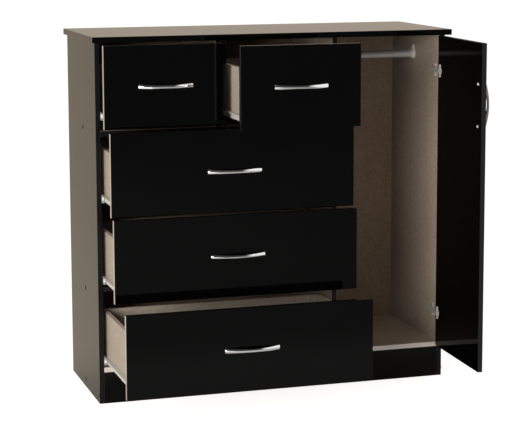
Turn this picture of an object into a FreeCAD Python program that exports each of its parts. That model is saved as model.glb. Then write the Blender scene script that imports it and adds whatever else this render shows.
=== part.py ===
import FreeCAD
import Part
import math
import os

# Low wardrobe: five drawers on roller runners at the left, a hanging space behind one door at the right.
# The origin is on the floor, at the middle of the carcass front. +X is right, +Y goes to the back, +Z is up.
# Lengths are millimetres, angles degrees.

# Carcass
carcass_width = 1134.0
carcass_depth = 425.0
total_height = 1130.0
board = 15.0
top_thickness = 18.0
top_front_overhang = 28.0
top_side_overhang = 12.0
plinth_height = 98.0
edge_round = 0.8
divider_offset = 196.0
shelf_below_front = 15.5
stretcher_below_front = 37.5
stretcher_start = 150.0
stretcher_depth = 100.0

# Back sheets, held in grooves and joined by an H strip
back_thickness = 3.0
back_inset = 8.0
groove_depth = 6.0
groove_slack = 0.2
strip_width = 14.0
strip_flange = 1.0
strip_web = 1.4
nail_radius = 0.8
nail_head_radius = 3.0
nail_head = 0.8
nail_length = 16.0
nail_pitch = 150.0
nail_margin = 30.0

# Fronts of the drawers and the door
front_thickness = 15.0
front_reveal = 6.0
front_gap = 3.0
front_standoff = 3.0
front_top_gap = 3.0
front_bottom_rise = 5.0
wide_rows = 3

# How much of its travel each drawer stands open at rest, and how far the door is swung
top_left_pull_share = 0.222
top_right_pull_share = 0.605
upper_pull_share = 0.441
middle_pull_share = 0.525
bottom_pull_share = 0.916
door_open_angle = 88.0

# Drawer boxes
box_board = 12.0
box_height = 158.0
box_rise = 21.0
box_length = 410.0
box_bottom_thickness = 3.0
box_bottom_rise = 10.0
box_groove_depth = 6.0
box_fit = 0.2

# Roller runners
runner_gap = 12.5
runner_sheet = 1.2
runner_length = 400.0
runner_setback = 2.0
runner_overlap = 45.0
runner_drop = 3.0
runner_flange_height = 17.0
runner_lip_width = 4.0
runner_lip_gap = 1.0
runner_side_play = 1.0
runner_ledge = 10.0
roller_radius = 9.0
rear_roller_radius = 8.4
roller_width = 7.0
roller_play = 0.3
roller_side_play = 0.5
roller_place = 12.0
roller_pin_radius = 2.5
roller_pin_head_radius = 4.0
roller_pin_head = 0.6
runner_screw_radius = 1.7
runner_screw_head_radius = 3.2
runner_screw_head = 1.0
runner_screw_length = 6.0
runner_screw_margin = 45.0
runner_screw_height = 8.0

# Bow handles
handle_length = 167.0
handle_reach = 20.0
handle_thickness = 5.0
handle_end_height = 14.0
handle_middle_height = 8.5
handle_inner_length = 108.0
handle_screw_spacing = 128.0
handle_screw_radius = 2.0
handle_screw_hole_radius = 2.3
handle_screw_bite = 7.0
handle_screw_head_radius = 4.0
handle_screw_head = 2.2
handle_edge_inset = 27.5
handle_end_thickness = 3.5
handle_crown_radius = 10.0
door_handle_drop = 188.5

# Door hinges: a cup in the door, a pin in the cup, and a bent arm on a plate on the side
hinge_end_distance = 111.0
hinge_pin_edge = 7.75
hinge_pin_depth = 9.8
hinge_pin_radius = 0.9
hinge_pin_play = 0.05
hinge_pin_length = 18.4
hinge_eye_radius = 1.9
hinge_cup_centre = 16.0
hinge_cup_radius = 13.0
hinge_cup_wall = 1.2
hinge_cup_depth = 12.8
hinge_cup_floor = 0.8
hinge_cup_play = 0.1
hinge_flange = 1.2
hinge_flange_length = 40.0
hinge_flange_width = 12.0
hinge_flange_notch = 13.0
hinge_arm_sheet = 1.5
hinge_arm_reach = 11.0
hinge_nose_width = 10.0
hinge_arm_width = 15.0
hinge_arm_start = 3.0
hinge_arm_length = 55.0
hinge_plate = 3.0
hinge_plate_start = 20.0
hinge_plate_length = 34.0
hinge_plate_width = 15.0
hinge_wing_line = 37.0
hinge_wing_length = 42.0
hinge_wing_width = 14.0
hinge_screw_spacing = 32.0
hinge_cup_screw_spacing = 32.0
hinge_screw_radius = 1.8
hinge_screw_head_radius = 3.4
hinge_screw_head = 1.4
hinge_screw_length = 10.0

# Hanging rail
rail_radius = 12.5
rail_wall = 1.2
rail_drop = 76.0
rail_place = 225.0
rail_play = 0.2
bracket_plate = 2.5
bracket_lower_radius = 17.0
bracket_upper_radius = 9.0
bracket_upper_rise = 21.0
bracket_ring_wall = 2.0
bracket_ring_length = 9.0
bracket_screw_radius = 1.8
bracket_screw_head_radius = 3.4
bracket_screw_head = 1.6
bracket_screw_length = 11.0

# Side screws with caps, cam locks and dowels
side_screw_place = 200.0
side_screw_radius = 2.5
side_screw_length = 48.0
side_screw_head_radius = 4.5
side_screw_head = 3.0
side_cap_radius = 6.5
side_cap_thickness = 1.2
side_cap_stem_radius = 1.5
side_cap_stem = 2.0
plinth_screw_height = 24.5
brace_place = 215.0
cam_radius = 7.5
cam_depth = 12.5
cam_distance = 34.0
cam_play = 0.1
cam_slot_depth = 1.2
cam_slot_width = 2.0
cam_front_place = 60.0
cam_rear_margin = 75.0
bolt_radius = 3.0
bolt_hole_radius = 3.4
bolt_bite = 11.0
bolt_head_radius = 3.3
bolt_head_length = 3.0
bolt_pocket_radius = 3.8
bolt_pocket_length = 4.0
dowel_radius = 4.0
dowel_length = 30.0
dowel_side_bite = 9.0
dowel_margin = 70.0

# The turn that stands a level piece upright
quarter_turn = 90.0

# Cuts run past their faces by this much
overrun = 2.0

X_AXIS = FreeCAD.Vector(1, 0, 0)
Y_AXIS = FreeCAD.Vector(0, 1, 0)
Z_AXIS = FreeCAD.Vector(0, 0, 1)

parts = {}


def box(x, y, z):
    """A block between the low and high value on each axis."""
    low = FreeCAD.Vector(x[0], y[0], z[0])
    return Part.makeBox(x[1] - x[0], y[1] - y[0], z[1] - z[0], low)


def rod(radius, start, end):
    """A round bar from one point to another."""
    start = FreeCAD.Vector(*start)
    run = FreeCAD.Vector(*end) - start
    return Part.makeCylinder(radius, run.Length, start, run)


def moved(shape, offset):
    """A copy of the shape, shifted."""
    shape = shape.copy()
    shape.translate(FreeCAD.Vector(*offset))
    return shape


def turned(shape, point, axis, angle):
    """A copy of the shape, turned about a line."""
    shape = shape.copy()
    shape.rotate(FreeCAD.Vector(*point), axis, angle)
    return shape


def cut_all(shape, tools):
    """The shape with each tool cut away."""
    for tool in tools:
        shape = shape.cut(tool)
    return shape


def rounded(shape, wanted):
    """The shape with a small radius on the straight edges that the test picks."""
    edges = [edge for edge in shape.Edges if wanted(edge.BoundBox)]
    return shape.makeFillet(edge_round, edges)


def front_edges(low_y):
    """A test for the edges that lie in the plane at low_y."""
    return lambda b: b.YMax < low_y + edge_round


def upright_front_edges(low_y):
    """A test for the upright edges that lie in the plane at low_y."""
    return lambda b: b.YMax < low_y + edge_round and b.ZLength > b.XLength


def level_front_edges(low_y):
    """A test for the level edges that lie in the plane at low_y."""
    return lambda b: b.YMax < low_y + edge_round and b.XLength > b.ZLength


def add(name, *solids):
    """Keep solids under the name of their piece."""
    parts.setdefault(name, []).extend(solids)


# Planes that the pieces share
left_outer = -carcass_width / 2
right_outer = carcass_width / 2
left_inner = left_outer + board
right_inner = right_outer - board
top_underside = total_height - top_thickness
base_top = plinth_height + board
back_front = carcass_depth - back_inset - back_thickness
back_rear = back_front + back_thickness
divider_left = divider_offset - board / 2
divider_right = divider_offset + board / 2
front_field_left = left_outer + front_reveal
front_field_right = divider_offset - front_gap / 2
door_left = divider_offset + front_gap / 2
door_right = right_outer - front_reveal
front_bottom = plinth_height + front_bottom_rise
front_top = top_underside - front_top_gap
front_height = (front_top - front_bottom - wide_rows * front_gap) / (wide_rows + 1)
row_pitch = front_height + front_gap
partition_centre = (front_field_left + front_field_right) / 2
partition_left = partition_centre - board / 2
partition_right = partition_centre + board / 2
shelf_top = front_bottom + wide_rows * row_pitch - shelf_below_front
shelf_underside = shelf_top - board
stretcher_underside = front_bottom + row_pitch - stretcher_below_front
rail_height = top_underside - rail_drop
closed_back = -front_standoff
closed_face = closed_back - front_thickness
drawer_travel = box_length - runner_overlap


# Holes for cams and their bolts in the boards that carry the top
cam_height = top_underside - cam_distance
cam_places = (cam_front_place, carcass_depth - cam_rear_margin)


def cam_holes(face, inward, middle):
    """Cam bores from one face of an upright board, with a bolt hole down from its top end."""
    holes = []
    for place in cam_places:
        bottom = face + inward * (cam_depth + cam_play)
        holes.append(rod(cam_radius + cam_play, (face, place, cam_height), (bottom, place, cam_height)))
        holes.append(rod(bolt_hole_radius, (middle, place, cam_height), (middle, place, top_underside)))
    return holes


def cam_lock(face, inward, middle):
    """Cam discs with a pocket for the bolt's head and a screwdriver slot, and their bolts."""
    for place in cam_places:
        disc = rod(cam_radius, (face, place, cam_height), (face + inward * cam_depth, place, cam_height))
        pocket = rod(bolt_pocket_radius, (middle, place, cam_height - bolt_pocket_length),
                     (middle, place, cam_height + cam_radius))
        slot_x = sorted((face, face + inward * cam_slot_depth))
        slot = box(slot_x, (place - cam_radius, place + cam_radius),
                   (cam_height - cam_slot_width / 2, cam_height + cam_slot_width / 2))
        disc = disc.cut(pocket).cut(slot)
        head = rod(bolt_head_radius, (middle, place, cam_height - bolt_head_length / 2),
                   (middle, place, cam_height + bolt_head_length / 2))
        shank = rod(bolt_radius, (middle, place, cam_height), (middle, place, top_underside + bolt_bite))
        add("cam_locks", disc, head.fuse(shank).removeSplitter())


def bolt_seats():
    """Holes in the top's underside for the ends of the cam bolts."""
    seats = []
    for middle in (left_outer + board / 2, right_outer - board / 2, divider_offset, partition_centre):
        for place in cam_places:
            seats.append(rod(bolt_radius, (middle, place, top_underside), (middle, place, top_underside + bolt_bite)))
    return seats


# Screws through the sides, each under a cap
def side_screw(outer, inward, place, height):
    """A screw from a side's outer face into the end of a board, and the cap over its head."""
    head_end = outer + inward * side_screw_head
    tip = outer + inward * side_screw_length
    head = rod(side_screw_head_radius, (outer, place, height), (head_end, place, height))
    socket = rod(side_cap_stem_radius, (outer, place, height), (outer + inward * side_cap_stem, place, height))
    shank = rod(side_screw_radius, (head_end, place, height), (tip, place, height))
    cap = rod(side_cap_radius, (outer - inward * side_cap_thickness, place, height), (outer, place, height))
    stem = rod(side_cap_stem_radius, (outer, place, height), (outer + inward * side_cap_stem, place, height))
    add("side_screws_and_caps", head.fuse(shank).cut(socket).removeSplitter(), cap.fuse(stem).removeSplitter())


def side_screw_hole(outer, inward, place, height):
    """The hole that a side screw fills, through the side and into the board behind it."""
    head_end = outer + inward * side_screw_head
    tip = outer + inward * side_screw_length
    head = rod(side_screw_head_radius, (outer - inward * overrun, place, height), (head_end, place, height))
    shank = rod(side_screw_radius, (head_end, place, height), (tip, place, height))
    return head.fuse(shank)


shelf_middle = shelf_underside + board / 2
stretcher_middle = stretcher_underside + board / 2
left_screws = ((side_screw_place, shelf_middle), (side_screw_place, stretcher_middle),
               (brace_place, plinth_screw_height), (board / 2, plinth_screw_height))
right_screws = ((brace_place, plinth_screw_height), (board / 2, plinth_screw_height))
side_screw_holes = []
for place, height in left_screws:
    side_screw_holes.append(side_screw_hole(left_outer, 1, place, height))
    side_screw(left_outer, 1, place, height)
for place, height in right_screws:
    side_screw_holes.append(side_screw_hole(right_outer, -1, place, height))
    side_screw(right_outer, -1, place, height)

# Screws through the divider into the shelf and the stretcher
for height in (shelf_middle, stretcher_middle):
    side_screw_holes.append(side_screw_hole(divider_right, -1, side_screw_place, height))
    side_screw(divider_right, -1, side_screw_place, height)


# Dowels between the base panel and the sides
dowel_height = plinth_height + board / 2
dowel_holes = []
for place in (dowel_margin, back_front - dowel_margin):
    for inner, inward in ((left_inner, 1), (right_inner, -1)):
        start = inner - inward * dowel_side_bite
        dowel = rod(dowel_radius, (start, place, dowel_height), (start + inward * dowel_length, place, dowel_height))
        dowel_holes.append(dowel)
        add("base_dowels", dowel)


# Grooves that hold the back sheets
groove_y = (back_front - groove_slack / 2, back_rear + groove_slack / 2)


def side_groove(inner, outward):
    """The groove in a side's inner face, from the base panel's underside up through the top end."""
    x = sorted((inner - outward * overrun, inner + outward * groove_depth))
    return box(x, groove_y, (plinth_height, top_underside + overrun))


# Runner bays: the wall faces that each drawer runs between
class Drawer:
    """One drawer: its name, front, bay, height and how far it stands open."""

    def __init__(self, name, front_x, bay_x, row, pull_share):
        self.name = name
        self.front_x = front_x
        self.bay_x = bay_x
        self.bottom = front_bottom + row * row_pitch
        self.box_bottom = self.bottom + box_rise
        self.pull = pull_share * drawer_travel


small_right_edge = partition_centre - front_gap / 2
small_left_edge = partition_centre + front_gap / 2
wide_front = (front_field_left, front_field_right)
wide_bay = (left_inner, divider_left)
drawers = [
    Drawer("top_left_drawer", (front_field_left, small_right_edge), (left_inner, partition_left),
           wide_rows, top_left_pull_share),
    Drawer("top_right_drawer", (small_left_edge, front_field_right), (partition_right, divider_left),
           wide_rows, top_right_pull_share),
    Drawer("upper_drawer", wide_front, wide_bay, wide_rows - 1, upper_pull_share),
    Drawer("middle_drawer", wide_front, wide_bay, wide_rows - 2, middle_pull_share),
    Drawer("bottom_drawer", wide_front, wide_bay, 0, bottom_pull_share),
]

runner_screw_places = (runner_setback + runner_screw_margin, runner_setback + runner_length - runner_screw_margin)


def pan_screw(radius, head_radius, head, length, seat, direction):
    """A screw with its head on the seat and its shank running along the direction."""
    seat = FreeCAD.Vector(*seat)
    shank = Part.makeCylinder(radius, length, seat, direction)
    top = Part.makeCylinder(head_radius, head, seat - direction * head, direction)
    return shank.fuse(top).removeSplitter()


def cabinet_runner(wall, inward, box_bottom):
    """The channel on a bay wall, its front roller on a pin, and its screws. Returns the screws' holes."""
    def x(a, b):
        return sorted((wall + inward * a, wall + inward * b))

    leg_face = runner_gap - runner_sheet
    flange_end = leg_face - runner_side_play
    y = (runner_setback, runner_setback + runner_length)
    floor = box_bottom - runner_drop
    lip_bottom = box_bottom + runner_flange_height + runner_sheet + runner_lip_gap
    lip_top = lip_bottom + runner_sheet
    web = box(x(0, runner_sheet), y, (floor, lip_top))
    flange = box(x(0, flange_end), y, (floor, floor + runner_sheet))
    lip = box(x(0, runner_lip_width), y, (lip_bottom, lip_top))
    channel = web.fuse(flange).fuse(lip).removeSplitter()

    height = box_bottom + runner_flange_height - roller_play - roller_radius
    roller_start = runner_sheet + roller_side_play
    roller_end = roller_start + roller_width
    roller = rod(roller_radius, (wall + inward * roller_start, roller_place, height),
                 (wall + inward * roller_end, roller_place, height))
    bore = rod(roller_pin_radius + roller_play / 2, (wall, roller_place, height),
               (wall + inward * runner_gap, roller_place, height))
    pin_head_start = roller_end + roller_pin_head / 2
    pin = rod(roller_pin_radius, (wall + inward * runner_sheet, roller_place, height),
              (wall + inward * pin_head_start, roller_place, height))
    pin_head = rod(roller_pin_head_radius, (wall + inward * pin_head_start, roller_place, height),
                   (wall + inward * (pin_head_start + roller_pin_head), roller_place, height))

    holes = []
    screws = []
    for place in runner_screw_places:
        seat = (wall + inward * runner_sheet, place, box_bottom + runner_screw_height)
        screws.append(pan_screw(runner_screw_radius, runner_screw_head_radius, runner_screw_head,
                                runner_screw_length + runner_sheet, seat, X_AXIS * -inward))
        tip = (wall - inward * runner_screw_length, seat[1], seat[2])
        hole = rod(runner_screw_radius, seat, tip)
        channel = channel.cut(hole)
        holes.append(hole)
    add("cabinet_runners", channel, *screws)
    add("cabinet_rollers", roller.cut(bore), pin.fuse(pin_head).removeSplitter())
    return holes


wall_holes = []
for drawer in drawers:
    wall_holes += cabinet_runner(drawer.bay_x[0], 1, drawer.box_bottom)
    wall_holes += cabinet_runner(drawer.bay_x[1], -1, drawer.box_bottom)


# Boards of the carcass
def board_in(x, y, z, cuts):
    """A carcass board with a softened front edge and its grooves and holes."""
    return cut_all(rounded(box(x, y, z), front_edges(y[0])), cuts)


def upright_board(x, z, depth, cuts):
    """A side or divider with softened upright front edges and its grooves and holes."""
    return cut_all(rounded(box(x, (0, depth), z), upright_front_edges(0)), cuts)


def level_board(x, y, z, cuts):
    """A shelf or base with softened level front edges and its holes."""
    return cut_all(rounded(box(x, y, z), level_front_edges(y[0])), cuts)


def near(shape, tools):
    """The tools that reach into the shape's own box."""
    bounds = shape.BoundBox
    return [tool for tool in tools if bounds.intersect(tool.BoundBox)]


hinge_heights = (front_bottom + hinge_end_distance, front_top - hinge_end_distance)
hinge_screw_tips = []
for height in hinge_heights:
    for side in (-1, 1):
        z = height + side * hinge_screw_spacing / 2
        hinge_screw_tips.append(rod(hinge_screw_radius, (right_inner, hinge_wing_line, z),
                                    (right_inner + hinge_screw_length, hinge_wing_line, z)))

bracket_screw_heights = (rail_height, rail_height + bracket_upper_rise)


def bracket_screw_hole(wall, outward, height):
    """The hole of one bracket screw in a board."""
    return rod(bracket_screw_radius, (wall, rail_place, height),
               (wall + outward * bracket_screw_length, rail_place, height))


bracket_holes = []
for height in bracket_screw_heights:
    bracket_holes.append(bracket_screw_hole(divider_right, -1, height))
    bracket_holes.append(bracket_screw_hole(right_inner, 1, height))


def with_holes(shape):
    """A board with every hole that reaches it."""
    tools = side_screw_holes + dowel_holes + wall_holes + hinge_screw_tips + bracket_holes
    return cut_all(shape, near(shape, tools))


left_side = upright_board((left_outer, left_inner), (0, top_underside), carcass_depth,
                          [side_groove(left_inner, -1)] + cam_holes(left_inner, -1, left_outer + board / 2))
right_side = upright_board((right_inner, right_outer), (0, top_underside), carcass_depth,
                           [side_groove(right_inner, 1)] + cam_holes(right_inner, 1, right_outer - board / 2))
add("left_side_panel", with_holes(left_side))
add("right_side_panel", with_holes(right_side))
cam_lock(left_inner, -1, left_outer + board / 2)
cam_lock(right_inner, 1, right_outer - board / 2)

divider = upright_board((divider_left, divider_right), (base_top, top_underside), back_front - strip_flange,
                        cam_holes(divider_right, -1, divider_offset))
add("centre_divider", with_holes(divider))
cam_lock(divider_right, -1, divider_offset)

partition = upright_board((partition_left, partition_right), (shelf_top, top_underside), back_front,
                          cam_holes(partition_right, -1, partition_centre))
add("top_row_partition", with_holes(partition))
cam_lock(partition_right, -1, partition_centre)

shelf = level_board((left_inner, divider_left), (0, back_front), (shelf_underside, shelf_top), [])
add("drawer_shelf", with_holes(shelf))
stretcher = board_in((left_inner, divider_left), (stretcher_start, stretcher_start + stretcher_depth),
                     (stretcher_underside, stretcher_underside + board), [])
add("lower_stretcher", with_holes(stretcher))
base = level_board((left_inner, right_inner), (0, back_front), (plinth_height, base_top), [])
strip_recess = box((divider_offset - strip_width / 2 - groove_slack, divider_offset + strip_width / 2 + groove_slack),
                   (back_front - strip_flange, back_front + overrun), (plinth_height - overrun, base_top + overrun))
add("base_panel", with_holes(base).cut(strip_recess))
add("plinth_front", with_holes(box((left_inner, right_inner), (0, board), (0, plinth_height))))
add("plinth_brace", with_holes(box((left_inner, right_inner), (brace_place - board / 2, brace_place + board / 2),
                                   (0, plinth_height))))

top_panel = box((left_outer - top_side_overhang, right_outer + top_side_overhang),
                (-top_front_overhang, carcass_depth), (top_underside, total_height))
top_panel = rounded(top_panel, lambda b: b.YLength + b.ZLength + b.XLength > top_thickness + edge_round)
top_groove = box((left_inner - groove_depth, right_inner + groove_depth), groove_y,
                 (top_underside - overrun, top_underside + groove_depth))
add("top_panel", cut_all(top_panel, [top_groove] + bolt_seats()))


# Back sheets, their joint strip and nails
back_top = top_underside + groove_depth - groove_slack
back_edge_left = left_inner - groove_depth + groove_slack
back_edge_right = right_inner + groove_depth - groove_slack
strip_left = divider_offset - strip_web / 2
strip_right = divider_offset + strip_web / 2
back_z = (plinth_height, back_top)
strip_z = (plinth_height, top_underside)
strip_x = (divider_offset - strip_width / 2, divider_offset + strip_width / 2)
strip = box((strip_left, strip_right), (back_front, back_rear), strip_z)
strip = strip.fuse(box(strip_x, (back_front - strip_flange, back_front), strip_z))
strip = strip.fuse(box(strip_x, (back_rear, back_rear + strip_flange), strip_z)).removeSplitter()
add("back_joint_strip", strip)


def nail_places(start, end):
    """Evenly spaced places from start to end."""
    count = max(int((end - start) / nail_pitch), 1)
    return [start + (end - start) * step / count for step in range(count + 1)]


nail_points = []
for x in nail_places(left_inner + nail_margin, divider_left - nail_margin):
    nail_points.append((x, plinth_height + board / 2))
    nail_points.append((x, shelf_underside + board / 2))
for x in nail_places(divider_right + nail_margin, right_inner - nail_margin):
    nail_points.append((x, plinth_height + board / 2))
for z in nail_places(shelf_top + nail_margin, top_underside - nail_margin)[1:]:
    nail_points.append((partition_centre, z))

nail_holes = []
for x, z in nail_points:
    shank = rod(nail_radius, (x, back_rear - nail_length, z), (x, back_rear, z))
    head = rod(nail_head_radius, (x, back_rear, z), (x, back_rear + nail_head, z))
    nail_holes.append(shank)
    add("back_nails", shank.fuse(head).removeSplitter())

left_back = box((back_edge_left, strip_left), (back_front, back_rear), back_z)
right_back = box((strip_right, back_edge_right), (back_front, back_rear), back_z)
add("back_panel_left", cut_all(left_back, near(left_back, nail_holes)))
add("back_panel_right", cut_all(right_back, near(right_back, nail_holes)))
for name in ("base_panel", "drawer_shelf", "top_row_partition"):
    parts[name][0] = cut_all(parts[name][0], near(parts[name][0], nail_holes))


# Hanging rail and its brackets
def rail_bracket(wall, inward):
    """A wall plate with a ring for the rail's end, and its two screws."""
    def disc(radius, height, start, end):
        return rod(radius, (wall + inward * start, rail_place, height), (wall + inward * end, rail_place, height))

    ring_radius = rail_radius + rail_play + bracket_ring_wall
    upper = rail_height + bracket_upper_rise
    plate = disc(bracket_lower_radius, rail_height, 0, bracket_plate)
    plate = plate.fuse(disc(bracket_upper_radius, upper, 0, bracket_plate))
    bridge = box(sorted((wall, wall + inward * bracket_plate)),
                 (rail_place - bracket_upper_radius, rail_place + bracket_upper_radius), (rail_height, upper))
    ring = disc(ring_radius, rail_height, bracket_plate, bracket_plate + bracket_ring_length)
    socket = disc(rail_radius + rail_play, rail_height, bracket_plate, bracket_plate + bracket_ring_length + overrun)
    body = plate.fuse(bridge).fuse(ring).cut(socket).removeSplitter()
    for height in bracket_screw_heights:
        seat = (wall + inward * bracket_plate, rail_place, height)
        body = body.cut(disc(bracket_screw_radius, height, 0, bracket_plate))
        add("rail_brackets", pan_screw(bracket_screw_radius, bracket_screw_head_radius, bracket_screw_head,
                                       bracket_screw_length + bracket_plate, seat, X_AXIS * -inward))
    add("rail_brackets", body)


rail_bracket(divider_right, 1)
rail_bracket(right_inner, -1)
rail_end_gap = bracket_plate + bracket_screw_head + rail_play
rail_start = (divider_right + rail_end_gap, rail_place, rail_height)
rail_end = (right_inner - rail_end_gap, rail_place, rail_height)
add("hanging_rail", rod(rail_radius, rail_start, rail_end).cut(rod(rail_radius - rail_wall, rail_start, rail_end)))


# Bow handle, made lying along X with its feet on the plane y = 0 and its bow towards -Y
def arc_through(a, b, c):
    """An arc edge through three points."""
    return Part.Arc(FreeCAD.Vector(*a), FreeCAD.Vector(*b), FreeCAD.Vector(*c)).toShape()


def line_between(a, b):
    """A straight edge between two points."""
    return Part.makeLine(FreeCAD.Vector(*a), FreeCAD.Vector(*b))


def bow_handle():
    """The bow: a curved bar with a foot at each end, waisted in the middle, its outer face crowned."""
    half = handle_length / 2
    inner = handle_inner_length / 2
    low = -handle_end_height / 2
    plan = [
        arc_through((-half, -handle_end_thickness, low), (0, -handle_reach, low), (half, -handle_end_thickness, low)),
        line_between((half, -handle_end_thickness, low), (half, 0, low)),
        line_between((half, 0, low), (inner, 0, low)),
        arc_through((inner, 0, low), (0, handle_thickness - handle_reach, low), (-inner, 0, low)),
        line_between((-inner, 0, low), (-half, 0, low)),
        line_between((-half, 0, low), (-half, -handle_end_thickness, low)),
    ]
    bar = Part.Face(Part.Wire(plan)).extrude(Z_AXIS * handle_end_height)
    tall = handle_end_height / 2
    waist = handle_middle_height / 2
    outline = [
        arc_through((-half, 0, tall), (0, 0, waist), (half, 0, tall)),
        line_between((half, 0, tall), (half, 0, -tall)),
        arc_through((half, 0, -tall), (0, 0, -waist), (-half, 0, -tall)),
        line_between((-half, 0, -tall), (-half, 0, tall)),
    ]
    band = Part.Face(Part.Wire(outline)).extrude(Y_AXIS * -handle_reach)
    bar = bar.common(band)
    rise = handle_reach - handle_end_thickness
    bow_radius = (half * half + rise * rise) / (2 * rise)
    crowned_face = Part.makeTorus(bow_radius - handle_crown_radius, handle_crown_radius,
                                  FreeCAD.Vector(0, bow_radius - handle_reach, 0), Z_AXIS)
    bar = bar.common(crowned_face)
    for side in (-1, 1):
        x = side * handle_screw_spacing / 2
        bar = bar.cut(rod(handle_screw_radius, (x, 0, 0), (x, -handle_screw_bite, 0)))
    return bar.Solids[0]


def handle_screws():
    """The two screws behind the board that hold the bow."""
    screws = []
    for side in (-1, 1):
        seat = (side * handle_screw_spacing / 2, front_thickness, 0)
        screws.append(pan_screw(handle_screw_radius, handle_screw_head_radius, handle_screw_head,
                                front_thickness + handle_screw_bite, seat, Y_AXIS * -1))
    return screws


def handle_holes():
    """The two holes through the board for the bow's screws."""
    holes = []
    for side in (-1, 1):
        x = side * handle_screw_spacing / 2
        holes.append(rod(handle_screw_hole_radius, (x, -overrun, 0), (x, front_thickness + overrun, 0)))
    return holes


bow = bow_handle()
bow_screws = handle_screws()
bow_holes = handle_holes()


# Drawers, made closed and then pulled out
def drawer_runner(side_face, outward, box_bottom):
    """The profile under one box side, its rear roller on a pin, and its screws."""
    def x(a, b):
        return sorted((side_face + outward * a, side_face + outward * b))

    y = (closed_back + runner_setback, closed_back + box_length)
    leg_top = box_bottom + runner_flange_height
    reach = runner_gap - runner_sheet - runner_side_play
    leg = box(x(0, runner_sheet), y, (box_bottom - runner_sheet, leg_top + runner_sheet))
    ledge = box(x(runner_sheet, -runner_ledge), y, (box_bottom - runner_sheet, box_bottom))
    flange = box(x(0, reach), y, (leg_top, leg_top + runner_sheet))
    profile = leg.fuse(ledge).fuse(flange).removeSplitter()

    place = closed_back + box_length - roller_place
    height = box_bottom - runner_drop + runner_sheet + roller_play + rear_roller_radius
    start = runner_sheet + roller_side_play
    end = start + roller_width
    roller = rod(rear_roller_radius, (side_face + outward * start, place, height),
                 (side_face + outward * end, place, height))
    bore = rod(roller_pin_radius + roller_play / 2, (side_face, place, height),
               (side_face + outward * runner_gap, place, height))
    head_start = end + roller_pin_head / 2
    pin = rod(roller_pin_radius, (side_face + outward * runner_sheet, place, height),
              (side_face + outward * head_start, place, height))
    pin_head = rod(roller_pin_head_radius, (side_face + outward * head_start, place, height),
                   (side_face + outward * (head_start + roller_pin_head), place, height))
    solids = [roller.cut(bore), pin.fuse(pin_head).removeSplitter()]
    holes = []
    for margin in (runner_screw_margin, box_length - runner_screw_margin):
        seat = (side_face + outward * runner_sheet, closed_back + margin, box_bottom + runner_screw_height)
        solids.append(pan_screw(runner_screw_radius, runner_screw_head_radius, runner_screw_head,
                                runner_screw_length + runner_sheet, seat, X_AXIS * -outward))
        tip = (side_face - outward * runner_screw_length, seat[1], seat[2])
        hole = rod(runner_screw_radius, seat, tip)
        profile = profile.cut(hole)
        holes.append(hole)
    return [profile] + solids, holes


def make_drawer(drawer):
    """All pieces of one drawer, pulled out as in the rest pose."""
    out = (0, -drawer.pull, 0)
    outer_left = drawer.bay_x[0] + runner_gap
    outer_right = drawer.bay_x[1] - runner_gap
    inner_left = outer_left + box_board
    inner_right = outer_right - box_board
    bottom = drawer.box_bottom
    top = bottom + box_height
    rear = closed_back + box_length
    sheet_z = (bottom + box_bottom_rise, bottom + box_bottom_rise + box_bottom_thickness)
    slot_z = (sheet_z[0] - box_fit / 2, sheet_z[1] + box_fit / 2)
    slot = box((inner_left - box_groove_depth, inner_right + box_groove_depth),
               (closed_back - box_groove_depth, rear + overrun), slot_z)

    handle_at = (sum(drawer.front_x) / 2, closed_face, drawer.bottom + front_height / 2)
    front = rounded(box(drawer.front_x, (closed_face, closed_back), (drawer.bottom, drawer.bottom + front_height)),
                    front_edges(closed_face))
    front = cut_all(front.cut(slot), [moved(hole, handle_at) for hole in bow_holes])

    left_runner, left_holes = drawer_runner(outer_left, -1, bottom)
    right_runner, right_holes = drawer_runner(outer_right, 1, bottom)
    side_y = (closed_back, rear)
    left = cut_all(box((outer_left, inner_left), side_y, (bottom, top)), [slot] + left_holes)
    right = cut_all(box((inner_right, outer_right), side_y, (bottom, top)), [slot] + right_holes)
    back = box((inner_left, inner_right), (rear - box_board, rear), (sheet_z[1], top))
    sheet = box((inner_left - box_groove_depth + box_fit, inner_right + box_groove_depth - box_fit),
                (closed_back - box_groove_depth + box_fit, rear), sheet_z)

    pieces = {
        "front": [front],
        "left_side": [left],
        "right_side": [right],
        "back": [back],
        "bottom": [sheet],
        "runners": left_runner + right_runner,
        "handle": [moved(shape, handle_at) for shape in [bow] + bow_screws],
    }
    for piece, solids in pieces.items():
        add(drawer.name + "_" + piece, *[moved(solid, out) for solid in solids])


for drawer in drawers:
    make_drawer(drawer)


# Door, made closed and then swung open about the hinge pins
pin_x = door_right - hinge_pin_edge
pin_y = closed_back - hinge_pin_depth
cup_x = door_right - hinge_cup_centre


def swung(shape):
    """The shape as the open door carries it."""
    return turned(shape, (pin_x, pin_y, 0), Z_AXIS, door_open_angle)


def from_face(radius, height, start, end):
    """A round bar into the door from its inner face, on the cup's centre."""
    return rod(radius, (cup_x, closed_back - start, height), (cup_x, closed_back - end, height))


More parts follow.
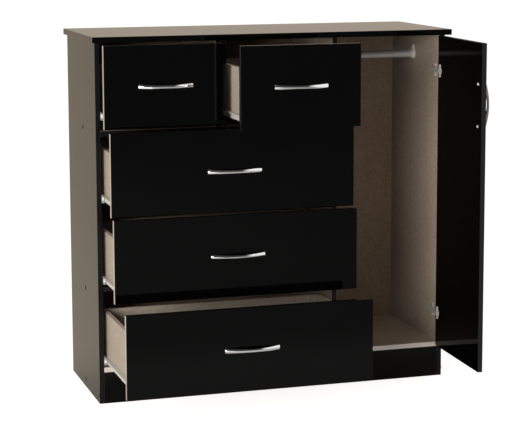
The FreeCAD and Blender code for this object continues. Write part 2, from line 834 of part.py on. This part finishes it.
def hinge_cup(height):
    """A cup with its flange, its pin and its two screws, closed."""
    cup = from_face(hinge_cup_radius, height, 0, hinge_cup_depth)
    half = hinge_flange_length / 2
    wide = hinge_flange_width / 2
    flange_y = (closed_back, closed_back + hinge_flange)
    plate = box((cup_x - wide, cup_x + wide), flange_y, (height - half, height + half))
    rim = from_face(hinge_cup_radius, height, -hinge_flange, 0)
    hollow = from_face(hinge_cup_radius - hinge_cup_wall, height, -hinge_flange, hinge_cup_depth - hinge_cup_floor)
    notch = box((pin_x - hinge_eye_radius, pin_x + hinge_cup_radius), (closed_back, closed_back + hinge_flange),
                (height - hinge_flange_notch / 2, height + hinge_flange_notch / 2))
    body = cup.fuse(plate).fuse(rim).cut(hollow).cut(notch)
    pin_ends = (height - hinge_pin_length / 2, height + hinge_pin_length / 2)
    pin = rod(hinge_pin_radius, (pin_x, pin_y, pin_ends[0]), (pin_x, pin_y, pin_ends[1]))
    body = body.cut(pin).removeSplitter()
    solids = [pin]
    for side in (-1, 1):
        z = height + side * hinge_cup_screw_spacing / 2
        seat = (cup_x, flange_y[1], z)
        hole = rod(hinge_screw_radius, seat, (cup_x, closed_back, z))
        body = body.cut(hole)
        solids.append(pan_screw(hinge_screw_radius, hinge_screw_head_radius, hinge_screw_head,
                                hinge_screw_length + hinge_flange, seat, Y_AXIS * -1))
    return [body] + solids


def hinge_arm(height):
    """The bent arm from the pin to the plate on the side."""
    inner_x = pin_x - hinge_arm_reach
    outer_x = inner_x - hinge_arm_sheet
    nose = (height - hinge_nose_width / 2, height + hinge_nose_width / 2)
    half = hinge_arm_sheet / 2
    eye = rod(hinge_eye_radius, (pin_x, pin_y, nose[0]), (pin_x, pin_y, nose[1]))
    foot = box((outer_x, pin_x), (pin_y - half, pin_y + half), nose)
    riser = box((outer_x, inner_x), (pin_y - half, hinge_arm_start), nose)
    arm_z = (height - hinge_arm_width / 2, height + hinge_arm_width / 2)
    arm_y = (hinge_arm_start, hinge_arm_start + hinge_arm_length)
    plate_face = right_inner - hinge_plate
    channel = box((outer_x, plate_face), arm_y, arm_z)
    inside = box((inner_x, plate_face + overrun), (arm_y[0] - overrun, arm_y[1] + overrun),
                 (arm_z[0] + hinge_arm_sheet, arm_z[1] - hinge_arm_sheet))
    bore = rod(hinge_pin_radius + hinge_pin_play, (pin_x, pin_y, nose[0] - overrun),
               (pin_x, pin_y, nose[1] + overrun))
    return channel.cut(inside).fuse(riser).fuse(foot).fuse(eye).cut(bore).removeSplitter()


def hinge_mounting(height):
    """The winged plate on the side and its two screws."""
    x = (right_inner - hinge_plate, right_inner)
    body = box(x, (hinge_plate_start, hinge_plate_start + hinge_plate_length),
               (height - hinge_plate_width / 2, height + hinge_plate_width / 2))
    wing = box(x, (hinge_wing_line - hinge_wing_width / 2, hinge_wing_line + hinge_wing_width / 2),
               (height - hinge_wing_length / 2, height + hinge_wing_length / 2))
    body = body.fuse(wing).removeSplitter()
    solids = []
    for side in (-1, 1):
        z = height + side * hinge_screw_spacing / 2
        body = body.cut(rod(hinge_screw_radius, (x[0], hinge_wing_line, z), (x[1], hinge_wing_line, z)))
        solids.append(pan_screw(hinge_screw_radius, hinge_screw_head_radius, hinge_screw_head,
                                hinge_screw_length + hinge_plate, (x[0], hinge_wing_line, z), X_AXIS))
    return [body] + solids


door = rounded(box((door_left, door_right), (closed_face, closed_back), (front_bottom, front_top)),
               front_edges(closed_face))
door_cuts = []
for height in hinge_heights:
    door_cuts.append(from_face(hinge_cup_radius + hinge_cup_play, height, -overrun, hinge_cup_depth + hinge_cup_play))
    for side in (-1, 1):
        z = height + side * hinge_cup_screw_spacing / 2
        door_cuts.append(rod(hinge_screw_radius, (cup_x, closed_back + overrun, z),
                             (cup_x, closed_back - hinge_screw_length, z)))
    add("hinge_cups", *[swung(solid) for solid in hinge_cup(height)])
    add("hinge_arms", hinge_arm(height), *hinge_mounting(height))

door_handle_at = (door_left + handle_edge_inset, closed_face, front_top - door_handle_drop)
upright = [turned(shape, (0, 0, 0), Y_AXIS, quarter_turn) for shape in [bow] + bow_screws]
add("door_handle", *[swung(moved(shape, door_handle_at)) for shape in upright])
door_cuts += [moved(turned(hole, (0, 0, 0), Y_AXIS, quarter_turn), door_handle_at) for hole in bow_holes]
add("door_panel", swung(cut_all(door, door_cuts)))


# One file for each piece
os.makedirs("parts", exist_ok=True)
for name, solids in parts.items():
    shape = solids[0] if len(solids) == 1 else Part.makeCompound(solids)
    shape.exportStep(os.path.join("parts", name + ".step"))
print(len(parts), "pieces written")
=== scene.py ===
import math

import bpy
from mathutils import Matrix, Vector

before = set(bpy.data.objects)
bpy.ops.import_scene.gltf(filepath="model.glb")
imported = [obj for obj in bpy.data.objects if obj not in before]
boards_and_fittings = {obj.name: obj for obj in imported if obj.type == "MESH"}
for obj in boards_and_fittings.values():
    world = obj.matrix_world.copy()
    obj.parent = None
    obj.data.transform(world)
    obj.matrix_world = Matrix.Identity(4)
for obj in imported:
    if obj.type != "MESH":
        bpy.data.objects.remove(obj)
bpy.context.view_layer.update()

# Camera
# A long lens, a little above the top panel and to the left of the wardrobe. It looks slightly down, with a
# small shift that keeps the uprights nearly upright.
photo_width, photo_height = 529, 425
focal_length = 1745.9          # in pixels
middle_row = 165.0             # the row that the lens points at
camera_place = Vector((-1.6324, -5.1341, 1.4790))
turn_right, tip_up, roll = 0.30167, -0.14037, -0.00275

level_ahead = Vector((math.sin(turn_right), math.cos(turn_right), 0))
ahead = math.cos(tip_up) * level_ahead + Vector((0, 0, math.sin(tip_up)))
level_right = Vector((math.cos(turn_right), -math.sin(turn_right), 0))
level_up = level_right.cross(ahead)
camera_right = math.cos(roll) * level_right + math.sin(roll) * level_up
camera_up = math.cos(roll) * level_up - math.sin(roll) * level_right
camera_axes = Matrix((camera_right, camera_up, -ahead)).transposed().to_4x4()

lens = bpy.data.cameras.new("camera")
lens.sensor_width = 36.0
lens.lens = focal_length / photo_width * lens.sensor_width
lens.shift_y = (middle_row - photo_height / 2) / photo_width
lens.clip_start, lens.clip_end = 0.05, 100.0
camera = bpy.data.objects.new("camera", lens)
camera.matrix_world = Matrix.Translation(camera_place) @ camera_axes
bpy.context.scene.collection.objects.link(camera)
bpy.context.scene.camera = camera
bpy.context.scene.view_settings.view_transform = "Standard"


# Lamps
# Two soft boxes on stands: a wide warm one at the left front, which lights the drawer boxes, and a taller dim
# one at the right, a little ahead of the carcass front.
def soft_box(name, place, aim, width, height, power, colour):
    """A soft box that stands at place and looks at aim."""
    light = bpy.data.lights.new(name, "AREA")
    light.shape, light.size, light.size_y = "RECTANGLE", width, height
    light.energy, light.color = power, colour
    stand = bpy.data.objects.new(name, light)
    stand.location = place
    stand.rotation_euler = (Vector(aim) - Vector(place)).to_track_quat("-Z", "Y").to_euler()
    bpy.context.scene.collection.objects.link(stand)


soft_box("left_soft_box", place=(-3.6, -3.9, 1.2), aim=(0, 0, 0.5), width=2.6, height=2.0, power=180.0,
         colour=(1.0, 0.97, 0.93))
soft_box("right_soft_box", place=(4.6, -0.7, 1.2), aim=(0, -0.2, 0.6), width=2.0, height=2.4, power=18.0,
         colour=(1.0, 1.0, 1.0))


# Surround
# White to the eye, and dim in the light that it gives. Gloss and metal see a room that is dark behind the
# camera, grey beside the wardrobe and warm behind it, with white walls to the left and right of the fronts.
dark_room = (0.05, 0.05, 0.052, 1)
grey_room = (0.62, 0.61, 0.60, 1)
warm_room = (0.53, 0.455, 0.37, 1)
white_wall = (1.0, 0.99, 0.97, 1)
plain_white = (1, 1, 1, 1)
dark_until, grey_at, warm_from = 0.30, 0.5, 0.85     # 0 is straight ahead of the fronts, 1 straight behind
wall_start, wall_full = 0.42, 0.62                   # how far to the side the white walls fade in
wall_front_start, wall_front_full = 0.0, -0.2
ambient_colour, ambient_strength = (1.0, 0.97, 0.94, 1), 0.22


def put(tree, kind, inputs=None, **settings):
    """A shader node with its settings, and its inputs from values or from other nodes' sockets."""
    made = tree.nodes.new("ShaderNode" + kind)
    for setting, value in settings.items():
        setattr(made, setting, value)
    for socket, value in (inputs or {}).items():
        if isinstance(value, bpy.types.NodeSocket):
            tree.links.new(value, made.inputs[socket])
        else:
            made.inputs[socket].default_value = value
    return made


def calculate(tree, operation, first, second=0.0, third=0.0):
    """The result of one sum on numbers."""
    return put(tree, "Math", {0: first, 1: second, 2: third}, operation=operation).outputs[0]


def fade(tree, value, start, full, way="SMOOTHSTEP"):
    """0 where value is at start, 1 where it is at full, and a soft change between."""
    return put(tree, "MapRange", {"Value": value, "From Min": start, "From Max": full},
               interpolation_type=way).outputs[0]


def mix_colours(tree, share, first, second):
    """A colour between two, by share."""
    return put(tree, "Mix", {0: share, 6: first, 7: second}, data_type="RGBA").outputs[2]


def background(tree, colour, strength=1.0):
    """Light of one colour from all around."""
    return put(tree, "Background", {"Color": colour, "Strength": strength}).outputs[0]


def choose(tree, share, first, second):
    """The first shader where share is 0, the second where it is 1."""
    return put(tree, "MixShader", {0: share, 1: first, 2: second}).outputs[0]


world = bpy.data.worlds.new("surround")
world.use_nodes = True
bpy.context.scene.world = world
sky = world.node_tree
sky.nodes.clear()
sky_ray = put(sky, "LightPath").outputs
direction = put(sky, "SeparateXYZ", {0: put(sky, "TexCoord").outputs["Generated"]}).outputs
room = put(sky, "ValToRGB", {"Fac": calculate(sky, "MULTIPLY_ADD", direction["Y"], 0.5, 0.5)})
steps = room.color_ramp.elements
steps[0].position, steps[0].color = dark_until, dark_room
steps[1].position, steps[1].color = warm_from, warm_room
steps.new(grey_at).color = grey_room
sideways = fade(sky, calculate(sky, "ABSOLUTE", direction["X"]), wall_start, wall_full)
in_front = fade(sky, direction["Y"], wall_front_start, wall_front_full, "LINEAR")
walls = mix_colours(sky, calculate(sky, "MULTIPLY", sideways, in_front), room.outputs["Color"], white_wall)
unseen = choose(sky, sky_ray["Is Glossy Ray"], background(sky, ambient_colour, ambient_strength),
                background(sky, walls))
seen = choose(sky, sky_ray["Is Camera Ray"], unseen, background(sky, plain_white))
put(sky, "OutputWorld", {0: seen})


# Floor
# Pale paper that runs far out and takes the wardrobe's shadow. Gloss sees it warm behind the carcass, and
# bright in patches at the left, at the right and close before the fronts, which stay black between them.
floor_half_width = 30.0
floor_drop = 0.0005
paper_colour = (0.80, 0.79, 0.77, 1)
white_to_camera = 0.86
warm_behind, warm_behind_strength = (1.0, 0.80, 0.55, 1), 0.42
behind_start, behind_full = -0.6, 0.8
bright_patch, bright_patch_strength = (1.0, 0.99, 0.97, 1), 0.7
patches_start, patches_full = -0.2, -0.5
near_start, near_full, near_share = -1.5, -1.0, 0.35
left_slant, left_start, left_full = -0.19, -0.25, -0.45
right_slant, right_start, right_full = 0.55, 0.5, 1.0
bounce, bounce_strength = (1.0, 0.97, 0.93, 1), 0.43

floor_mesh = bpy.data.meshes.new("floor")
corners = [(-floor_half_width, -floor_half_width, 0), (floor_half_width, -floor_half_width, 0),
           (floor_half_width, floor_half_width, 0), (-floor_half_width, floor_half_width, 0)]
floor_mesh.from_pydata(corners, [], [(0, 1, 2, 3)])
floor = bpy.data.objects.new("floor", floor_mesh)
floor.location.z = -floor_drop
bpy.context.scene.collection.objects.link(floor)

paper = bpy.data.materials.new("pale_floor")
paper.use_nodes = True
paper_tree = paper.node_tree
paper_tree.nodes.clear()
floor_ray = put(paper_tree, "LightPath").outputs
spot = put(paper_tree, "SeparateXYZ", {0: put(paper_tree, "TexCoord").outputs["Object"]}).outputs
across_left = calculate(paper_tree, "MULTIPLY_ADD", spot["Y"], left_slant, spot["X"])
across_right = calculate(paper_tree, "MULTIPLY_ADD", spot["Y"], right_slant, spot["X"])
behind = fade(paper_tree, spot["Y"], behind_start, behind_full)
near = fade(paper_tree, spot["Y"], near_start, near_full)
at_left = fade(paper_tree, across_left, left_start, left_full)
at_right = fade(paper_tree, across_right, right_start, right_full)
patches = calculate(paper_tree, "MAXIMUM", calculate(paper_tree, "MULTIPLY", near, near_share),
                    calculate(paper_tree, "MAXIMUM", at_left, at_right))
patches = calculate(paper_tree, "MULTIPLY", patches,
                    fade(paper_tree, spot["Y"], patches_start, patches_full, "LINEAR"))


def glow(seen_by, colour, strength):
    """Light of the floor's own that one kind of ray sees."""
    share = calculate(paper_tree, "MULTIPLY", floor_ray[seen_by], strength)
    return put(paper_tree, "Emission", {"Color": colour, "Strength": share}).outputs[0]


floor_surface = put(paper_tree, "BsdfDiffuse", {"Color": paper_colour}).outputs[0]
behind_strength = calculate(paper_tree, "MULTIPLY", behind, warm_behind_strength)
patches_strength = calculate(paper_tree, "MULTIPLY", patches, bright_patch_strength)
for light in (glow("Is Camera Ray", plain_white, white_to_camera),
              glow("Is Glossy Ray", warm_behind, behind_strength),
              glow("Is Diffuse Ray", bounce, bounce_strength),
              glow("Is Glossy Ray", bright_patch, patches_strength)):
    floor_surface = put(paper_tree, "AddShader", {0: floor_surface, 1: light}).outputs[0]
put(paper_tree, "OutputMaterial", {0: floor_surface})
floor_mesh.materials.append(paper)


# Boards of the carcass
# 15 mm chipboard, 18 mm for the top, in high gloss black foil outside and taupe linen foil inside. The front
# edges have a satin black band, or a pale one on the base and the stretcher. Rear ends are left sawn.
left, right, front, rear, down, up = ((-1, 0, 0), (1, 0, 0), (0, -1, 0), (0, 1, 0), (0, 0, -1), (0, 0, 1))
flat_face = 0.8                # how squarely a face looks one way to count as that face

gloss_black = ((0.0008, 0.0008, 0.001, 1), (0.0018, 0.0018, 0.002, 1))
foil_index = 1.25
gloss_roughness, smudge_roughness = 0.015, 0.07
smudges_per_metre, ripples_per_metre = 7, 38
ripple_height = 0.00004

band_black = (0.007, 0.007, 0.009, 1)
band_pale = (0.70, 0.63, 0.58, 1)
band_satin, band_matt = 0.32, 0.5
band_spread = 0.1

linen_inside = ((0.36, 0.29, 0.235, 1), (0.51, 0.425, 0.35, 1))
# A paler copy of the linen for the shelf, the base and the stretcher: painted light that brightens them in
# their shaded bays.
painted_light_linen = ((0.52, 0.43, 0.35, 1), (0.72, 0.61, 0.51, 1))
linen_roughness, thread_roughness = 0.46, 0.12
weft_per_metre, weft_length = 620, 30
warp_per_metre, warp_length = 560, 34
fleck_per_metre, fleck_length = 170, 70
clouds_per_metre = 5
weft_share, warp_share = 0.55, 0.45
weave_contrast, weave_start = 3.4, -1.2
cloud_contrast, fleck_contrast = 0.35, 1.6
thread_height = 0.00012

chips = ((0.62, 0.48, 0.32, 1), (0.22, 0.14, 0.075, 1))
chips_per_metre, chip_contrast = 420.0, 1.6
chip_roughness, chip_height = 0.85, 0.0004
specks_per_metre = 900
pattern_step = 0.37            # how far one board's pattern is shifted from the last one's, in metres


def stretched_noise(tree, place, per_metre, detail=3.0, roughness=0.55):
    """Noise from 0 to 1, drawn out along the axes that have few of its spots in a metre."""
    spread = put(tree, "Mapping", {"Vector": place, "Scale": per_metre}).outputs[0]
    return put(tree, "TexNoise", {"Vector": spread, "Scale": 1.0, "Detail": detail,
                                  "Roughness": roughness}).outputs["Fac"]


def mix_numbers(tree, share, first, second):
    """A number between two, by share."""
    return put(tree, "Mix", {0: share, 2: first, 3: second}).outputs[0]


def faces(tree, normal, directions, least=flat_face):
    """1 on the faces that look one of these ways, 0 elsewhere. A small least takes in their rounded edges."""
    share = 0.0
    for way in directions:
        along = put(tree, "VectorMath", {0: normal, 1: way}, operation="DOT_PRODUCT").outputs["Value"]
        share = calculate(tree, "MAXIMUM", share, calculate(tree, "GREATER_THAN", along, least))
    return share


def linen(tree, place, lies_flat, dark, light):
    """The linen weave's colour and its height: drawn-out threads both ways, with flecks and soft clouds."""
    if lies_flat:
        weft_way = (weft_length, weft_per_metre, weft_length)
        warp_way = (warp_per_metre, warp_length, warp_length)
        fleck_way = (fleck_length, fleck_per_metre, fleck_per_metre)
    else:
        weft_way = (weft_length, weft_length, weft_per_metre)
        warp_way = (warp_per_metre, warp_per_metre, warp_length)
        fleck_way = (fleck_per_metre, fleck_per_metre, fleck_length)
    weft = stretched_noise(tree, place, weft_way)
    warp = stretched_noise(tree, place, warp_way)
    cloud = stretched_noise(tree, place, (clouds_per_metre,) * 3, 2.0)
    fleck = stretched_noise(tree, place, fleck_way, 2.0)
    threads = calculate(tree, "MULTIPLY_ADD", weft, weft_share, calculate(tree, "MULTIPLY", warp, warp_share))
    threads = calculate(tree, "MULTIPLY_ADD", threads, weave_contrast, weave_start)
    tone = threads
    for pattern, contrast in ((cloud, cloud_contrast), (fleck, fleck_contrast)):
        tone = calculate(tree, "ADD", tone, calculate(tree, "MULTIPLY_ADD", pattern, contrast, -contrast / 2))
    return mix_colours(tree, put(tree, "Clamp", {0: tone}).outputs[0], dark, light), threads


def chipboard(tree, place):
    """Sawn chipboard: pressed chips of light and dark wood."""
    distance = put(tree, "TexVoronoi", {"Vector": place, "Scale": chips_per_metre}).outputs["Distance"]
    return mix_colours(tree, calculate(tree, "MULTIPLY", distance, chip_contrast), *chips)


def shade(colour, share):
    """A colour made darker or lighter by share."""
    return tuple(share * part for part in colour[:3]) + (1,)


def new_finish(name):
    """An empty finish for one piece."""
    finish = bpy.data.materials.new(name + "_finish")
    finish.use_nodes = True
    finish.node_tree.nodes.clear()
    return finish


def put_on(finish, name, colour, roughness, metallic, height, index):
    """Completes a finish with its colour, gloss and relief, and puts it on every face of the piece."""
    tree = finish.node_tree
    relief = put(tree, "Bump", {"Height": height, "Distance": 1.0}).outputs[0]
    surface = put(tree, "BsdfPrincipled", {"Base Color": colour, "Roughness": roughness, "Metallic": metallic,
                                           "IOR": index, "Normal": relief}).outputs[0]
    put(tree, "OutputMaterial", {0: surface})
    for slot in boards_and_fittings[name].material_slots:
        slot.material = finish


def finish_board(name, gloss=(), woven=(), sawn=(), weave=linen_inside, sawn_look=chipboard, lies_flat=False,
                 band=band_black, band_roughness=band_satin, band_metallic=0.0, gloss_least=flat_face,
                 index=foil_index, turned=0.0):
    """Gives a board its foils, edge band and sawn ends, by the way that each face looks.

    turned is how many degrees the board stands open at rest."""
    finish = new_finish(name)
    tree = finish.node_tree
    source = put(tree, "TexCoord").outputs
    offset = pattern_step * (sorted(boards_and_fittings).index(name) + 1)
    place = put(tree, "VectorMath", {0: source["Object"], 1: (offset, 2 * offset, 3 * offset)},
                operation="ADD").outputs[0]
    normal = put(tree, "VectorRotate", {"Vector": source["Normal"], "Angle": -math.radians(turned)},
                 rotation_type="Z_AXIS").outputs[0]
    in_gloss = faces(tree, normal, gloss, gloss_least)
    in_linen = faces(tree, normal, woven)
    in_chips = faces(tree, normal, sawn)

    smudge = stretched_noise(tree, place, (smudges_per_metre,) * 3, 4.0)
    ripple = stretched_noise(tree, place, (ripples_per_metre,) * 3, 1.0)
    speck = stretched_noise(tree, place, (specks_per_metre,) * 3, 1.0)
    weave_colour, threads = linen(tree, place, lies_flat, *weave)

    colour = mix_colours(tree, speck, shade(band, 1 - band_spread), shade(band, 1 + band_spread))
    colour = mix_colours(tree, in_gloss, colour, mix_colours(tree, smudge, *gloss_black))
    colour = mix_colours(tree, in_linen, colour, weave_colour)
    colour = mix_colours(tree, in_chips, colour, sawn_look(tree, place))

    rough_gloss = calculate(tree, "MULTIPLY_ADD", smudge, smudge_roughness, gloss_roughness)
    rough_linen = calculate(tree, "MULTIPLY_ADD", threads, thread_roughness, linen_roughness)
    roughness = mix_numbers(tree, in_gloss, band_roughness, rough_gloss)
    roughness = mix_numbers(tree, in_linen, roughness, rough_linen)
    roughness = mix_numbers(tree, in_chips, roughness, chip_roughness)

    metallic = 0.0
    if band_metallic:
        covered = calculate(tree, "MAXIMUM", in_gloss, calculate(tree, "MAXIMUM", in_linen, in_chips))
        metallic = mix_numbers(tree, covered, band_metallic, 0.0)

    height = calculate(tree, "MULTIPLY", ripple, ripple_height)
    height = mix_numbers(tree, in_linen, height, calculate(tree, "MULTIPLY", threads, thread_height))
    height = mix_numbers(tree, in_chips, height, calculate(tree, "MULTIPLY", speck, chip_height))
    put_on(finish, name, colour, roughness, metallic, height, index)


finish_board("top_panel", gloss=(left, right, front, down, up), sawn=(rear,))
finish_board("left_side_panel", gloss=(left,), woven=(right,), sawn=(rear, down))
finish_board("right_side_panel", gloss=(right,), woven=(left,), sawn=(rear, down))
finish_board("plinth_front", gloss=(front,), sawn=(left, right, up, down))
for board in ("centre_divider", "top_row_partition"):
    finish_board(board, woven=(left, right), sawn=(rear, up, down))
# The shelf, the base and the stretcher take the paler linen, whose extra brightness is painted light.
finish_board("drawer_shelf", woven=(up, down), sawn=(rear, left, right), weave=painted_light_linen,
             lies_flat=True)
for board in ("base_panel", "lower_stretcher"):
    finish_board(board, woven=(up, down), sawn=(rear, left, right), weave=painted_light_linen,
                 lies_flat=True, band=band_pale, band_roughness=band_matt)
finish_board("plinth_brace", woven=(front, rear), sawn=(left, right, up, down), band=band_pale,
             band_roughness=band_matt)


# Back sheets
# 3 mm hardboard, printed with the linen weave in front and bare brown behind, held in grooves and joined by
# a white plastic strip. Small nails with flat heads hold them to the boards.
hardboard_brown = ((0.16, 0.085, 0.045, 1), (0.30, 0.18, 0.10, 1))
printed_linen = ((0.29, 0.205, 0.145, 1), (0.42, 0.32, 0.235, 1))
white_plastic = ((0.78, 0.76, 0.72, 1), (0.84, 0.83, 0.80, 1))
nail_steel = ((0.45, 0.45, 0.44, 1), (0.62, 0.61, 0.59, 1))
fibres_per_metre = 260
wear_per_metre = 24
matt_roughness = 0.5


def hardboard(tree, place):
    """Bare hardboard: fine brown felted fibres."""
    fibres = stretched_noise(tree, place, (fibres_per_metre,) * 3, 5.0, 0.7)
    return mix_colours(tree, fibres, *hardboard_brown)


def finish_piece(name, colours, roughness, roughness_spread, metallic=0.0, index=1.45, grain_per_metre=300.0,
                 grain_height=0.00002, matt_where=None):
    """Gives a moulded, painted or plated piece a finish whose colour and gloss vary a little over it.

    matt_where gives the part of it, if any, that is left matt."""
    finish = new_finish(name)
    tree = finish.node_tree
    place = put(tree, "TexCoord").outputs["Object"]
    grain = stretched_noise(tree, place, (grain_per_metre,) * 3)
    wear = stretched_noise(tree, place, (wear_per_metre,) * 3, 4.0)
    rough = calculate(tree, "MULTIPLY_ADD", wear, roughness_spread, roughness)
    if matt_where is not None:
        matt_share = matt_where(tree, place)
        rough = mix_numbers(tree, matt_share, rough, matt_roughness)
        metallic = mix_numbers(tree, matt_share, metallic, 0.0)
    put_on(finish, name, mix_colours(tree, wear, *colours), rough, metallic,
           calculate(tree, "MULTIPLY", grain, grain_height), index)


for sheet in ("back_panel_left", "back_panel_right"):
    finish_board(sheet, woven=(front,), sawn=(rear, left, right, up, down), weave=printed_linen,
                 sawn_look=hardboard)
finish_piece("back_joint_strip", white_plastic, 0.40, 0.12)
finish_piece("back_nails", nail_steel, 0.30, 0.20, metallic=1.0)


# Screws, caps, cams and dowels
# Steel screws hold the sides and the divider to the boards between them, each under a dark plastic cap. Cam
# locks in the linen's colour hold the top, and beech dowels sit between the base and the sides.
cap_plastic = ((0.020, 0.019, 0.017, 1), (0.030, 0.028, 0.025, 1))
cam_taupe = ((0.38, 0.31, 0.25, 1), (0.46, 0.38, 0.31, 1))
beech = ((0.55, 0.38, 0.22, 1), (0.74, 0.56, 0.36, 1))
finish_piece("side_screws_and_caps", cap_plastic, 0.10, 0.08, index=foil_index)
finish_piece("cam_locks", cam_taupe, 0.42, 0.15)
finish_piece("base_dowels", beech, 0.60, 0.15, grain_per_metre=900.0)


# Runners
# Bent sheet steel with a white powder coat on the bay walls and under the drawer boxes, with nylon rollers.
# Their channels take the rollers of the other half.
white_nylon = ((0.80, 0.79, 0.77, 1), (0.86, 0.85, 0.83, 1))
powder_coat = ((0.74, 0.73, 0.71, 1), (0.82, 0.81, 0.79, 1))


def finish_runners(name):
    """Gives a set of runners its powder coat, with its fine orange peel."""
    finish_piece(name, powder_coat, 0.32, 0.12, grain_per_metre=1400.0, grain_height=0.00006)


finish_runners("cabinet_runners")
finish_piece("cabinet_rollers", white_nylon, 0.38, 0.10)


# Hinges
# Pressed nickel-plated steel: an arm on a winged plate inside the right side, and a cup sunk in the door.
# Two of them carry the door, near its top and near its foot.
arm_nickel = ((0.74, 0.73, 0.71, 1), (0.88, 0.87, 0.85, 1))
cup_nickel = ((0.80, 0.79, 0.77, 1), (0.92, 0.91, 0.89, 1))
finish_piece("hinge_arms", arm_nickel, 0.24, 0.14, metallic=0.6)
finish_piece("hinge_cups", cup_nickel, 0.30, 0.14, metallic=0.25)


# Hanging rail
# A thin steel tube with a satin plating, pushed into two enamelled end brackets. Each bracket is held to its
# board by two screws.
satin_tube = ((0.72, 0.72, 0.72, 1), (0.82, 0.82, 0.82, 1))
bracket_enamel = ((0.80, 0.76, 0.70, 1), (0.88, 0.84, 0.79, 1))
finish_piece("hanging_rail", satin_tube, 0.36, 0.08, metallic=0.6)
finish_piece("rail_brackets", bracket_enamel, 0.34, 0.15)


# Drawers
# Gloss black fronts with a bright metallic edge band, on boxes of 12 mm board in linen foil with a hardboard
# bottom. Each rides on roller runners and carries a polished chrome bow handle on two screws.
front_band = (0.90, 0.90, 0.90, 1)
front_band_roughness = 0.14
rounded_edge = 0.3             # the fronts' foil goes on over their rounded edges
box_band = (0.90, 0.74, 0.62, 1)
pale_box_foil = ((0.42, 0.35, 0.28, 1), (0.58, 0.505, 0.425, 1))
# The top left drawer's box gets a darker copy of the same foil: painted shade on its box.
painted_shade_box_foil = ((0.22, 0.185, 0.155, 1), (0.31, 0.27, 0.23, 1))
chrome = ((0.80, 0.80, 0.81, 1), (0.90, 0.90, 0.91, 1))


def finish_handle(name, matt_where=None):
    """Gives a bow handle its polished chrome."""
    finish_piece(name, chrome, 0.05, 0.05, metallic=1.0, grain_height=0.000004, matt_where=matt_where)


for drawer in ("top_left_drawer", "top_right_drawer", "upper_drawer", "middle_drawer", "bottom_drawer"):
    # The top left box wears the darker foil as painted shade; the others wear the foil's own colour.
    box_foil = painted_shade_box_foil if drawer == "top_left_drawer" else pale_box_foil
    finish_board(drawer + "_front", gloss=(front, rear), gloss_least=rounded_edge, band=front_band,
                 band_roughness=front_band_roughness, band_metallic=1.0)
    for side in ("_left_side", "_right_side"):
        finish_board(drawer + side, woven=(left, right), sawn=(rear,), weave=box_foil, band=box_band,
                     band_roughness=band_matt)
    finish_board(drawer + "_back", woven=(front, rear), weave=box_foil, band=box_band,
                 band_roughness=band_matt)
    finish_board(drawer + "_bottom", woven=(up,), sawn=(down, front, rear, left, right), sawn_look=hardboard,
                 lies_flat=True)
    finish_runners(drawer + "_runners")
    finish_handle(drawer + "_handle")


# Door
# One 15 mm board in gloss black foil on both faces, with a satin black band, hung on two cup hinges. Its
# handle is the same bow, set upright near the free edge. The two screw heads show on the inner face.
door_open = 88.0
door_index = 1.15
# The door's band is a lighter black than the carcass band: a painted reflection on the door's edges.
painted_reflection_door_band = (0.020, 0.020, 0.021, 1)
screw_heads_end = 0.538        # the heads lie to the left of this, the bow to the right, in metres
finish_board("door_panel", gloss=(front, rear), band=painted_reflection_door_band, index=door_index, turned=door_open)


def on_screw_heads(tree, place):
    """1 on the two pale screw heads at the door's inner face, 0 on the bow."""
    return calculate(tree, "LESS_THAN", put(tree, "SeparateXYZ", {0: place}).outputs["X"], screw_heads_end)


finish_handle("door_handle", matt_where=on_screw_heads)
